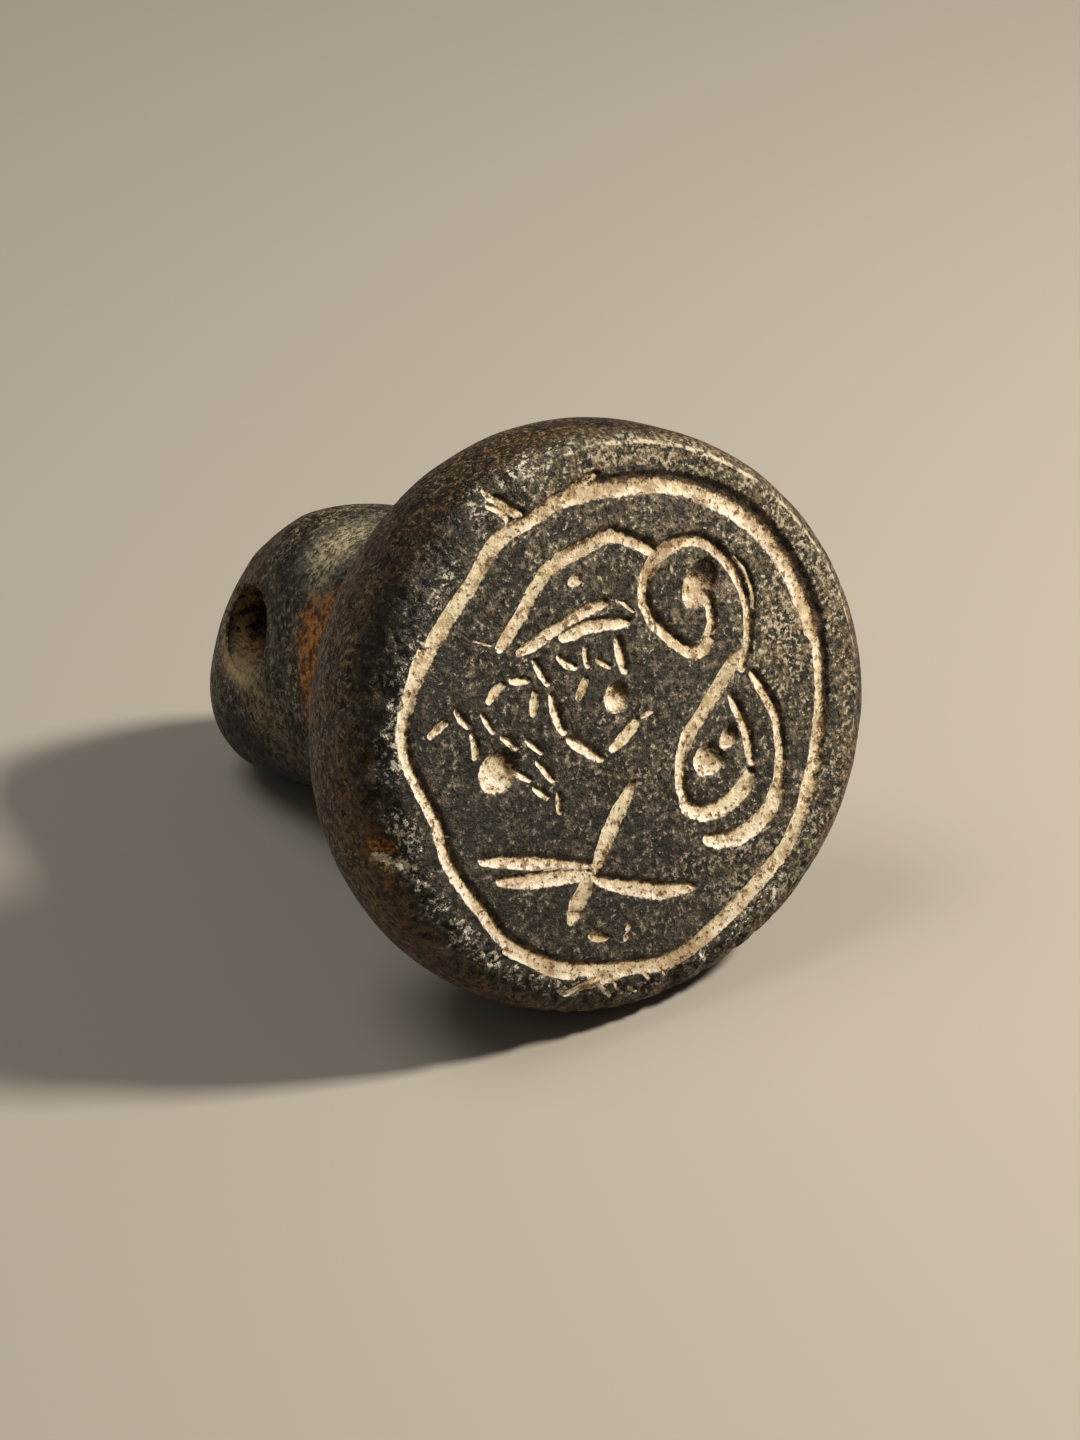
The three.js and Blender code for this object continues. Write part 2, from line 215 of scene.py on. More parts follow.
# The inside corner behind the head is worn to a soft hollow, and the face gets a finer grain for the cuts
stone = bmesh.new()
stone.from_mesh(stone_skin)
corner = [
    v
    for v in stone.verts
    if abs(v.co.y - HEAD_DEPTH) < CORNER_DEPTH and math.hypot(v.co.x, v.co.z) < BACK_RADIUS + CORNER_WIDTH
]
for _ in range(CORNER_PASSES):
    bmesh.ops.smooth_vert(stone, verts=corner, factor=0.5, use_axis_x=True, use_axis_y=True, use_axis_z=True)
near_face = [e for e in stone.edges if all(v.co.y < FINE_DEPTH for v in e.verts)]
bmesh.ops.subdivide_edges(stone, edges=near_face, cuts=1, use_grid_fill=True)
bmesh.ops.triangulate(stone, faces=[f for f in stone.faces if len(f.verts) > 4])
stone.to_mesh(stone_skin)
stone.free()

# Engraving: cut by hand with a graver and a drill, in a face ground flat. Lines are steep-sided, a little
# uneven in width and depth; dots are drilled. Places are (x, z) on the face in millimetres, as the cream
# filling lies; the cut reaches a little further to the upper right, where its wall is bare.
FILLING_TO_CUT = np.array((0.15, 0.15))
BARE_WALL = 0.07  # that the cut is wider than its filling on each side
SIDE = np.array((0.62, 0.78))  # the way to a cut's bare wall
OPEN_GROUND = 1.5  # what stands for the distance to a cut where none is near
WALL_STEEPNESS = 4.5
SHALLOW_SIDE = 0.24  # a cut's depth at its lower left lip, as a share of that at its bare wall
UNEVEN_WIDTH = 0.13
UNEVEN_DEPTH = 0.15
LINE_REACH = 1.4  # ground further from a line than this is left as it is
TAPER = 0.35  # share of its width that a line loses at its ends
TAPER_POINTS = 7
SPINDLE_TIP = 0.2  # width of a spindle's tips, as a share of its middle
BATCH = 4000  # points measured at a time


def smooth_line(points, spacing=0.1):
    """Places evenly along a Catmull-Rom line through the given ones."""
    p = np.array(points, float)
    p = np.vstack([2 * p[0] - p[1], p, 2 * p[-1] - p[-2]])
    out = []
    for a, b, c, d in zip(p, p[1:], p[2:], p[3:]):
        count = max(2, int(np.linalg.norm(c - b) / spacing))
        t = (np.arange(count) / count)[:, None]
        bend = (2 * a - 5 * b + 4 * c - d) * t**2 + (3 * b - a - 3 * c + d) * t**3
        out.append(0.5 * (2 * b + (c - a) * t + bend))
    out.append(p[-2][None])
    return np.vstack(out)


# (width, depth, places) of each line, in the order the graver went
lines = [
    # border: eight passes, then its overshooting ends and the short strokes at its foot
    (0.8, 0.34, [
        (-13.4, 5.0), (-14.2, 2.6), (-14.55, 1.5), (-14.6, 0.0), (-14.15, -1.5), (-13.05, -3.5),
        (-11.95, -5.5),
    ]),
    (0.9, 0.36, [
        (-12.5, -4.5), (-11.7, -6.9), (-10.5, -8.7), (-9.3, -10.2), (-8.2, -11.6), (-6.8, -12.6),
        (-5.4, -13.3), (-3.8, -13.9), (-2.0, -14.2), (-0.4, -14.3),
    ]),
    (0.86, 0.34, [
        (-14.4, 2.4), (-13.55, 4.0), (-12.6, 5.5), (-11.5, 7.0), (-10.2, 8.5), (-8.9, 10.4), (-7.5, 11.4),
        (-5.9, 11.9),
    ]),
    (0.85, 0.34, [(-6.4, 11.7), (-5.0, 12.5), (-3.4, 13.2), (-1.9, 14.0)]),
    (0.88, 0.34, [
        (-2.2, -14.5), (0.3, -14.4), (2.8, -14.4), (4.5, -13.9), (6.2, -12.9), (7.8, -11.8), (9.5, -10.4),
        (11.2, -8.8), (12.3, -7.0), (13.0, -5.0),
    ]),
    (1.0, 0.34, [(12.6, -6.2), (13.3, -4.2), (13.75, -1.5), (13.85, 0.8), (13.65, 2.9), (13.05, 4.7)]),
    (1.5, 0.34, [
        (13.5, 3.4), (12.95, 4.9), (11.95, 7.0), (10.6, 9.0), (8.85, 10.7), (6.8, 12.0), (4.6, 12.9),
    ]),
    (1.25, 0.34, [(6.8, 12.0), (4.6, 12.9), (2.3, 13.35), (0.0, 13.35), (-2.2, 13.3), (-3.9, 12.8)]),
    (0.5, 0.22, [(-8.0, -12.5), (-6.8, -13.0), (-5.2, -13.9), (-3.4, -14.5)]),
    (0.7, 0.2, [(-3.7, -15.45), (-2.5, -15.15), (-1.2, -14.8), (0.3, -14.5)]),
    (0.75, 0.24, [(-8.7, 13.4), (-8.2, 13.0), (-7.6, 12.5), (-6.9, 12.2)]),
    (0.5, 0.2, [(-8.9, 12.7), (-8.3, 12.5), (-7.8, 12.0), (-7.7, 11.4)]),
    (0.34, 0.12, [(1.4, -14.85), (2.0, -15.4)]),
    (0.3, 0.12, [(2.3, -14.6), (3.0, -15.2)]),
    (0.26, 0.12, [(3.2, -14.3), (3.8, -14.9)]),
    (0.38, 0.12, [(-1.5, -15.3), (-1.0, -15.7), (-0.5, -16.1)]),
    (0.34, 0.12, [(-0.7, -15.1), (-0.3, -15.5), (0.2, -15.9)]),
    (0.34, 0.12, [(0.5, -15.6), (1.1, -15.95)]),
    # wing-like arc, in three overlapping passes
    (0.75, 0.34, [(-8.3, 4.8), (-7.5, 5.8), (-6.8, 6.7), (-6.2, 7.7), (-5.5, 8.6), (-4.9, 9.3)]),
    (0.9, 0.36, [(-5.0, 8.9), (-4.2, 9.5), (-3.0, 9.9), (-1.8, 10.35), (-0.7, 10.75)]),
    (0.85, 0.34, [(-1.2, 10.5), (-0.3, 10.5), (0.5, 10.2), (1.4, 9.8), (2.2, 9.3)]),
    # upper scroll
    (0.7, 0.34, [(5.3, 7.0), (5.9, 6.2), (6.05, 5.2), (5.9, 4.4), (5.3, 3.7)]),
    (0.84, 0.36, [(5.9, 4.1), (5.2, 3.5), (4.2, 3.7), (3.0, 4.6), (2.0, 5.5), (1.4, 6.7)]),
    (0.84, 0.36, [(1.6, 5.9), (1.35, 7.0), (1.55, 8.1), (2.2, 9.1), (3.2, 9.7), (4.4, 9.9)]),
    (0.8, 0.36, [(3.6, 9.8), (4.8, 9.9), (5.9, 9.5), (6.9, 8.7), (7.7, 7.7), (8.2, 6.6)]),
    (0.4, 0.24, [(7.6, 8.7), (8.4, 7.8), (8.85, 6.6), (8.95, 5.6)]),
    (0.68, 0.34, [(8.0, 7.0), (8.5, 5.8), (8.6, 4.6), (8.45, 3.4), (8.1, 2.2)]),
    # lower scroll
    (0.8, 0.36, [
        (8.2, 3.1), (7.2, 2.2), (6.3, 1.0), (5.3, -0.3), (4.4, -1.4), (4.0, -2.6), (3.95, -4.0), (4.2, -5.2),
    ]),
    (1.0, 0.4, [
        (4.15, -4.7), (4.4, -5.45), (5.1, -5.85), (6.2, -5.95), (7.3, -5.6), (8.2, -4.9), (8.8, -4.0),
    ]),
    (0.7, 0.32, [(7.4, 0.6), (8.0, -0.5), (8.5, -1.5), (8.8, -2.8), (8.9, -3.3)]),
    # arc outside it
    (0.8, 0.34, [(8.9, 1.8), (9.8, 0.6), (10.6, -0.8), (10.9, -2.2), (10.95, -3.8), (10.7, -5.2)]),
    (1.0, 0.38, [(10.9, -4.4), (10.6, -5.5), (9.8, -6.6), (8.7, -7.3), (7.4, -7.7), (5.9, -7.6)]),
    # the middle: rows of short separate strokes, which are no signs and spell nothing
    (0.62, 0.3, [(-7.0, 4.4), (-6.2, 4.7), (-5.0, 5.3), (-4.0, 5.8)]),
    (0.68, 0.3, [(-4.0, 5.8), (-3.0, 6.25), (-2.0, 6.6), (-1.3, 6.75)]),
    (0.3, 0.1, [(-0.5, 6.8), (0.0, 6.6), (0.6, 6.1)]),
    (0.78, 0.3, [(-4.1, 5.0), (-3.0, 5.35), (-2.0, 5.55), (-0.9, 5.6), (0.2, 5.55)]),
    (0.75, 0.32, [(-0.4, 4.5), (-0.15, 3.7), (0.05, 2.8)]),
    (0.6, 0.26, [(-4.35, 3.9), (-3.9, 3.55), (-3.35, 3.3)]),
    (0.52, 0.26, [(-2.6, 4.25), (-2.45, 3.3)]),
    (0.55, 0.26, [(-2.6, 2.5), (-3.1, 1.5)]),
    (0.45, 0.22, [(-1.75, 3.5), (-1.0, 3.1)]),
    (0.52, 0.26, [(-6.0, 3.8), (-5.6, 3.2), (-5.15, 2.5)]),
    (0.72, 0.32, [(-4.85, 1.7), (-4.5, 0.6), (-4.1, -0.3)]),
    (0.75, 0.34, [(-3.65, -0.85), (-2.7, -1.35), (-1.6, -2.1)]),
    (0.62, 0.28, [(-0.8, -1.65), (0.1, -0.95), (0.9, -0.2)]),
    (0.3, 0.1, [(1.2, 0.0), (1.9, 0.25)]),
    (0.55, 0.26, [(-9.05, 1.85), (-8.6, 2.35), (-8.1, 2.7)]),
    (0.55, 0.26, [(-7.5, 2.85), (-6.5, 2.8)]),
    (0.6, 0.28, [(-5.95, 2.0), (-6.1, 0.9)]),
    (0.45, 0.24, [(-9.45, 1.1), (-9.1, 0.6), (-8.75, 0.1)]),
    (0.5, 0.26, [(-8.1, -0.3), (-7.7, -0.55), (-7.25, -0.95)]),
    (0.45, 0.26, [(-6.5, -0.65), (-6.0, -1.0), (-5.6, -1.35)]),
    (0.5, 0.26, [(-5.8, -1.95), (-5.3, -2.45), (-4.8, -3.05)]),
    (0.46, 0.26, [(-4.4, -3.85), (-4.35, -4.9)]),
    (0.5, 0.22, [(-7.3, -2.3), (-6.4, -2.85)]),
    (0.5, 0.24, [(-6.0, -3.4), (-5.2, -3.95)]),
    (0.5, 0.2, [(-12.9, 0.25), (-12.4, 0.6), (-11.9, 0.9)]),
    (0.55, 0.24, [(-11.15, 1.45), (-10.8, 1.0), (-10.45, 0.6)]),
    (0.55, 0.24, [(-10.1, 0.0), (-9.9, -0.6), (-9.95, -1.2)]),
    (0.16, 0.06, [(-10.0, 5.3), (-8.7, 4.9)]),
]
# Spindle-shaped strokes, crossing below: width in the middle, depth, and places
spindles = [
    (0.92, 0.36, [(0.6, -3.8), (-0.5, -5.6), (-1.3, -7.1), (-1.9, -8.6)]),
    (0.92, 0.32, [(-9.6, -7.15), (-7.2, -7.4), (-5.2, -7.75), (-2.1, -8.25)]),
    (0.98, 0.34, [(-8.4, -8.45), (-6.3, -8.6), (-4.7, -8.6), (-2.1, -8.7)]),
    (1.08, 0.36, [(-2.0, -8.95), (-0.5, -9.45), (1.2, -9.85), (2.8, -10.2), (4.8, -10.2)]),
    (1.0, 0.36, [(-2.3, -8.9), (-2.9, -10.0), (-3.6, -11.3)]),
]
# Drilled dots: middle, half length, half width, way it points in degrees, depth
dots = [
    ((5.2, 7.3), 1.6, 1.05, 58, 0.5),
    ((5.9, -2.95), 1.15, 1.05, 20, 0.5),
    ((7.3, -1.7), 0.85, 0.6, 55, 0.5),
    ((-8.35, -2.2), 1.45, 1.2, 45, 0.62),
    ((-0.5, 1.25), 0.95, 0.85, 80, 0.42),
    ((-3.3, 8.2), 0.6, 0.36, 25, 0.14),
    ((-1.7, -12.4), 0.75, 0.34, -10, 0.26),
    ((0.35, -12.1), 0.3, 0.16, 60, 0.08),
    ((0.2, -12.65), 0.3, 0.18, 70, 0.08),
    ((-3.3, -10.9), 0.6, 0.45, 20, 0.32),
]


def wander(points, scale, seed):
    """Smooth noise, about -1 to 1, at points in millimetres; scale is the size of one swell."""
    shift = Vector((seed * 17.3, seed * 5.7, seed * 11.9))
    return np.array([noise.noise(Vector(p) / scale + shift) for p in points])


def face_cuts(points):
    """At points near the face: depth of the engraving; distance from the middle of the nearest cut, 1 at its
    lip; and the side of it, -1 at the lower left lip to 1 at the upper right."""
    flat = points[:, (0, 2)] - FILLING_TO_CUT
    worn = wander(points, 0.9, 1) * 0.9 + wander(points, 0.3, 2) * 0.8
    deep = np.zeros(len(points))
    share = np.full(len(points), OPEN_GROUND)
    across = np.zeros(len(points))

    def take(some, share_here, across_here, bite):
        deep[some] = np.maximum(deep[some], bite)
        nearer = share_here < share[some]
        share[some[nearer]] = share_here[nearer]
        across[some[nearer]] = across_here[nearer]

    def line_cut(line, wide, depth):
        near = ((flat > line.min(0) - LINE_REACH) & (flat < line.max(0) + LINE_REACH)).all(1)
        for some in np.array_split(np.nonzero(near)[0], max(1, near.sum() // BATCH)):
            if len(some):
                gap = np.linalg.norm(flat[some][:, None] - line[None], axis=2)
                which = gap.argmin(1)
                bare_wall_in_painted_shade = np.minimum(BARE_WALL, wide[which] * 0.12)
                half = wide[which] / 2 * (1 + UNEVEN_WIDTH * worn[some]) + bare_wall_in_painted_shade
                share_here = gap.min(1) / half
                across_here = (flat[some] - line[which]) @ SIDE / half
                slope = 1 - (1 - SHALLOW_SIDE) * (1 - np.clip(across_here, -1, 1)) / 2
                walls = np.clip(1 - share_here**WALL_STEEPNESS, 0, 1)
                take(some, share_here, across_here, depth * slope * walls * (1 + UNEVEN_DEPTH * worn[some]))

    for width, depth, places in lines:
        line = smooth_line(places)
        t = np.linspace(0, 1, len(line))
        end = np.clip(1 - np.minimum(t, 1 - t) * len(line) / TAPER_POINTS, 0, 1)
        line_cut(line, width * (1 - TAPER * end), depth)
    for width, depth, places in spindles:
        line = smooth_line(places)
        t = np.linspace(0.03, 0.97, len(line))
        line_cut(line, width * (SPINDLE_TIP + (1 - SPINDLE_TIP) * np.sin(np.pi * t) ** 0.6), depth)
    everywhere = np.arange(len(points))
    for (x, z), long, wide, towards, depth in dots:
        c, s = math.cos(math.radians(towards)), math.sin(math.radians(towards))
        dx, dz = flat[:, 0] - x, flat[:, 1] - z
        share_here = np.hypot((dx * c + dz * s) / long, (dz * c - dx * s) / wide) / (1 + 0.08 * worn)
        across_here = 0.75 * (dx * SIDE[0] + dz * SIDE[1]) / ((long + wide) / 2)
        take(everywhere, share_here, across_here, depth * np.sqrt(np.clip(1 - share_here**2, 0, 1)))
    return deep, share, across


def bump(value, middle, width):
    """1 where a value is at its middle, fading out over a width on each side."""
    return np.exp(-(((value - middle) / width) ** 2))


def places_of(mesh, what="co"):
    """The mesh's points, or their normals, as rows of x, y, z."""
    flat = np.empty(len(mesh.vertices) * 3)
    mesh.vertices.foreach_get(what, flat)
    return flat.reshape(-1, 3)


# Wear, always into the stone: slow hollows all over, small pits, and a broken edge round most of the face
HOLLOWS = ((5.5, 3, 0.08), (2.0, 4, 0.035))  # millimetres across, seed, depth
LEAST_WEAR = 0.09
PIT_SIZE = 0.5
PIT_DEPTH = 0.14
SOUND_EDGE = 55  # degrees round the face, from its right: the edge is whole there and broken opposite
BROKEN_RADIUS = 16.1
BROKEN_WIDTH = 1.1
BROKEN_DEPTH = 0.55
# Chips: degrees round the face, radius, size, depth
CHIPS = (
    (201, 16.1, 1.7, 0.5),
    (194, 15.5, 0.8, 0.35),
    (121, 15.7, 1.4, 0.45),
    (127, 14.9, 0.8, 0.3),
    (141, 16.1, 1.0, 0.4),
    (168, 16.1, 0.9, 0.35),
    (262, 16.4, 1.4, 0.35),
    (247, 16.0, 0.9, 0.3),
    (284, 16.2, 1.2, 0.3),
    (232, 16.6, 1.2, 0.35),
)
CHIP_BEHIND = 0.4  # how far behind the face a chip's middle lies
FACE_ZONE = (2.2, 17)  # what the engraving may reach: millimetres behind the face, and from its middle

place = places_of(stone_skin)
normal = places_of(stone_skin, "normal")
radius = np.hypot(place[:, 0], place[:, 2])
angle = np.degrees(np.arctan2(place[:, 2], place[:, 0]))
face_zone = np.nonzero((place[:, 1] < FACE_ZONE[0]) & (radius < FACE_ZONE[1]))[0]
cut_depth = face_cuts(place[face_zone])[0]

swell = sum(depth * wander(place, size, seed) for size, seed, depth in HOLLOWS)
pits = np.clip(wander(place, PIT_SIZE, 5) - 0.25, 0, 1) * PIT_DEPTH
broken = bump(radius, BROKEN_RADIUS, BROKEN_WIDTH) * (place[:, 1] < 3.5)
broken *= np.clip(0.55 - 0.75 * np.cos(np.radians(angle - SOUND_EDGE)), 0, 1)
broken *= np.clip(wander(place, 0.75, 6) * 0.8 + wander(place, 0.33, 7) * 0.5 + 0.15, 0, 1)
dent = np.maximum(LEAST_WEAR + swell, 0.0) + pits + BROKEN_DEPTH * broken
for towards, out, size, depth in CHIPS:
    cx, cz = out * math.cos(math.radians(towards)), out * math.sin(math.radians(towards))
    gap = np.sqrt((place[:, 0] - cx) ** 2 + (place[:, 2] - cz) ** 2 + (place[:, 1] - CHIP_BEHIND) ** 2)
    dent += depth * np.clip(1 - (gap / size) ** 2, 0, 1)

# Cord wear: a shallow dish round each mouth of the hole, drawn out upwards
DISH_DEPTH = 0.55
DRAG_DEPTH = 0.35
off_y = place[:, 1] - (HANDLE_END - HOLE_FROM_END)
off_z = place[:, 2] - HOLE_ABOVE_AXIS
on_side = np.clip((np.abs(place[:, 0]) - 3.0) / 2.0, 0, 1) * (place[:, 1] > HEAD_DEPTH + 6)
dish = DISH_DEPTH * np.exp(-(((off_y - 0.3) / 3.5) ** 2 + (off_z / 3.9) ** 2) ** 1.3)
drag = DRAG_DEPTH * np.exp(-(((off_y - 0.6) / 1.5) ** 2 + ((off_z - 4.6) / 2.8) ** 2))
dent += on_side * np.maximum(dish, drag)

place -= normal * dent[:, None]
place[face_zone, 1] += cut_depth
stone_skin.vertices.foreach_set("co", place.ravel())
stone_skin.update()

# The skin is thinned where it is plain, so that the cuts keep their grain
MOST_TRIANGLES = 190000
seal_stone = bpy.data.objects.new("seal_stone", stone_skin)
bpy.context.scene.collection.objects.link(seal_stone)
triangles = sum(len(p.vertices) - 2 for p in stone_skin.polygons)
thin = seal_stone.modifiers.new("thin", "DECIMATE")
thin.ratio = min(1.0, MOST_TRIANGLES / triangles)
seal_mesh = finished_mesh(seal_stone)
seal_mesh.name = "seal_stone"
seal_stone.modifiers.clear()
seal_stone.data = seal_mesh
bpy.data.meshes.remove(stone_skin)

# Marks: how strong each cut, stain and worn place is at each point of the skin, for the stone's finish. Each
# fades out over its size, in millimetres.
place = places_of(seal_mesh)
x, y, z = place.T
radius = np.hypot(x, z)
angle = np.degrees(np.arctan2(z, x))
marks = {}


def spots(*rows):
    """Round spots on the stone: strength, middle and size of each."""
    return sum(much * np.exp(-((place - middle) ** 2).sum(1) / size**2) for much, middle, size in rows)


def face_spots(*rows):
    """Spots on the face or its shoulder, however deep: strength, middle (x, z) and size (x, z) of each."""
    flat = place[:, (0, 2)]
    return sum(much * np.exp(-(((flat - middle) / size) ** 2).sum(1)) for much, middle, size in rows)


def facing(degrees):
    """1 on the side of the head towards an angle round the face, -1 on the other."""
    return np.cos(np.radians(angle - degrees))


face_zone = np.nonzero((y < FACE_ZONE[0] + 0.2) & (radius < FACE_ZONE[1]))[0]
share, across = np.full(len(place), OPEN_GROUND), np.zeros(len(place))
_, share[face_zone], across[face_zone] = face_cuts(place[face_zone])
marks["cut_share"] = share / OPEN_GROUND
marks["cut_side"] = across / 3 + 0.5

on_face = np.clip((1.4 - y) / 0.9, 0, 1) * np.clip((16.9 - radius) / 0.9, 0, 1)
marks["on_face"] = on_face
# Painted light and shade on the face: its ground is made darker towards the lower left and paler towards the
# upper right, as the key light falls
marks["dull"] = 0.55 - (0.6 * x + 0.8 * z) / 18
# Painted shade on the deposit: darker towards the bottom of the face
marks["soiled"] = (-z - 6) / 8

# Edge of the face: crumbled into crystals on its left and low side, crisp and rubbed pale at the upper right
upper_left = 0.75 * bump(angle, 118, 22) * bump(radius, 15.9, 0.9)
ring = 15.3 - 0.7 * bump(angle, 152, 22) - 0.2 * bump(angle, -163, 14)
crumbled = bump(radius, ring, 0.65) * np.clip(0.5 - 0.8 * facing(SOUND_EDGE), 0, 1)
crumbled *= 1 - 0.2 * bump(angle, -110, 45)
marks["broken_edge"] = np.maximum(crumbled, upper_left) * np.clip((2.0 - y) / 0.8, 0, 1)
crisp = HEAD_RADIUS - FACE_MARGIN + FACE_LEAN * ((1 + facing(FACE_LEAN_TOWARDS)) / 2) ** 2
crisp += lobes(HEAD_LOBES, np.radians(angle))
marks["crisp_edge"] = bump(radius, crisp + 0.1, 0.15) * (y < 1.2) * np.clip(facing(60), 0, 1)

# Where the ground of the face sparkles: pale grains, with painted glints among them
marks["sparkle"] = (
    0.12
    + face_spots(
        (0.8, (11.5, 4.5), (2.6, 5.0)),
        (0.75, (9.5, -10.0), (5.0, 3.2)),
        (0.4, (0.5, -3.2), (3.5, 1.6)),
        (0.3, (1.0, -13.0), (5.0, 1.6)),
    )
    + 0.6 * np.clip((radius - 14.7) / 1.0, 0, 1) * np.clip(facing(-20), 0, 1)
    + 0.75 * bump(angle, 84, 34) * np.clip((radius - 14.2) / 0.5, 0, 1)
    + 0.6 * bump(angle, -88, 30) * np.clip((radius - 14.6) / 0.5, 0, 1)
)

# Iron stain: in the hollow behind the head, along the handle's left side, and a trace on the shoulder
on_handle = np.clip((y - HEAD_DEPTH) / 2.0, 0, 1) * (radius < 13)
marks["on_handle"] = on_handle
left = np.clip(0.5 - x / 8, 0, 1)
root_stain = np.clip((24.4 - y) / 1.4, 0, 1) * (0.6 + 0.4 * np.clip((y - 16) / 4, 0, 1))
root_stain *= (x < -3) * (y > HEAD_DEPTH) * np.exp(-(((z + 0.6) / 6.2) ** 4))
root_stain *= np.clip(0.85 + z / 14, 0.45, 1) * np.clip((25.2 + 0.22 * z - y) / 2.2, 0, 1)
marks["rust"] = (1 - on_face) * (
    bump(y, HEAD_DEPTH + 1.2, 1.7) * (radius < 12.5) * (0.15 + 0.45 * left)
    + 1.1 * root_stain
    + 0.45 * bump(angle, -158, 9) * bump(y, 1.6, 1.1) * (radius > 14)
)
# Golden wear: low on the left of the head, and in three places on the handle
marks["golden"] = (
    0.8 * bump(angle, -152, 20) * bump(y, 2.6, 2.6) * (radius > 13)
    + 0.5 * bump(angle, -105, 32) * bump(y, 3.5, 2.6) * (radius > 12)
    + spots((1.0, (-7.6, 28.2, -2.4), 1.5), (0.5, (-6.0, 25.5, -4.6), 2.4), (0.7, (-6.6, 33.0, 2.8), 1.7))
)

# A cream patch on the handle, and darker stains round it; painted shade darkens the handle's low side and the
# shoulder behind the broken edge, on the side away from the key light
marks["pale_patch"] = spots(
    (1.0, (-5.2, 23.4, 7.2), 2.2),
    (0.4, (-3.2, 23.5, 8.8), 2.4),
    (0.5, (-7.2, 22.6, 5.2), 0.9),
)
marks["dark_patch"] = (
    spots((1.0, (-6.8, 26.6, 5.4), 1.9), (0.8, (-6.6, 32.2, -5.3), 2.4), (0.6, (-7.0, 26.0, 0.5), 1.6))
    # painted shade: the shoulder behind the broken edge, away from the key light, and the handle's low side
    + 0.8 * bump(y, 1.7, 1.3) * (radius > 14.5) * np.clip(0.1 - 1.3 * facing(25), 0, 1)
    + (y > HEAD_DEPTH + 3) * np.clip(-z / 6 - 0.25, 0, 1)
)

# The chip at the lower left of the face: orange in its bed, a cream crust along its lower lip
chip_bed = face_spots((1.0, (-15.4, -5.6), 0.6), (0.75, (-14.7, -5.9), 0.5))
chip_crust = face_spots(
    (1.0, (-15.3, -6.3), 0.35),
    (1.0, (-14.8, -6.55), 0.35),
    (1.0, (-14.2, -6.75), 0.35),
    (0.8, (-13.6, -6.9), 0.35),
    (0.8, (-14.45, -4.9), 0.45),
)
marks["chip_rust"] = chip_bed * (y < 4)
marks["chip_crust"] = chip_crust * (y < 4)

# Cord hole: how deep in from the mouth, with painted shade deep inside and in the mouth, its lower lip rubbed
# pale by the cord and partly a painted highlight, and the cord's rub above it
off_y = y - (HANDLE_END - HOLE_FROM_END)
off_z = z - HOLE_ABOVE_AXIS
hole_gap = np.hypot(off_y, off_z)
deep_in = np.clip((HANDLE_HALF_WIDTH - 1.4 - np.abs(x)) / 2.2, 0, 1)
lower_lip = np.clip(-0.25 - off_z / 2.2, 0, 1) * np.clip(0.75 + off_y / 3, 0, 1)
# Painted shade deep inside the hole
marks["deep_in_hole"] = deep_in * (hole_gap < HOLE_MOUTH_RADIUS) * on_handle
# Painted shade in the mouth of the hole, mottled brown
marks["in_hole"] = np.clip((HOLE_MOUTH_RADIUS + 0.3 - hole_gap) / 0.6, 0, 1) * on_handle
# Lower lip of the hole: rubbed pale by the cord, and partly a painted highlight
marks["hole_lip"] = bump(hole_gap, HOLE_MOUTH_RADIUS + 0.6, 0.6) * lower_lip * on_handle
marks["cord_rub"] = np.exp(-(((off_y - 0.6) / 1.5) ** 2 + ((off_z - 4.4) / 2.6) ** 2)) * on_handle

for name, strength in marks.items():
    layer = seal_mesh.attributes.new(name, "FLOAT", "POINT")
    layer.data.foreach_set("value", np.clip(strength, 0, 1).astype(np.float32))

# The stone lies tipped back on its rim and on the handle's end: the same turn and lift as the solid has
TIP = math.radians(15.98001)
ROLL = math.radians(11.5)
FACE_MIDDLE = Vector((-0.482542, -16.743185, 17.649009))
lie = Matrix.Translation(FACE_MIDDLE) @ Matrix.Rotation(-TIP, 4, "X") @ Matrix.Rotation(ROLL, 4, "Y")
seal_mesh.transform(lie)
for v in seal_mesh.vertices:
    v.co.z = max(v.co.z, 0.0)
seal_mesh.transform(Matrix.Scale(MM, 4))
seal_mesh.update()
for p in seal_mesh.polygons:
    p.use_smooth = True
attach(seal_stone, "root")
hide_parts("seal_matrix")


# Worn dark steatite: a charcoal ground with fine pale grains, a brown handled skin, orange iron stain in the
# hollows and chalky cream deposit in the cuts. Low gloss, gritty at a touch; the deposit is dull and smooth.
def linear(code):
    """sRGB hex to a linear colour."""
    parts = [int(code[i : i + 2], 16) / 255 for i in (1, 3, 5)]
    return [c / 12.92 if c <= 0.04045 else ((c + 0.055) / 1.055) ** 2.4 for c in parts] + [1.0]


stone_finish = bpy.data.materials.new("worn_dark_steatite")
stone_finish.use_nodes = True
nodes, links = stone_finish.node_tree.nodes, stone_finish.node_tree.links
nodes.clear()


def add(kind, inputs, out=0, **settings):
    """The output of a new node with these settings; an input is a value or another node's output."""
    node = nodes.new("ShaderNode" + kind)
    for key, value in settings.items():
        setattr(node, key, value)
    for key, value in inputs.items():
        if isinstance(value, bpy.types.NodeSocket):
            links.new(value, node.inputs[key])
        else:
            node.inputs[key].default_value = value
    return node.outputs[out] if node.outputs else None


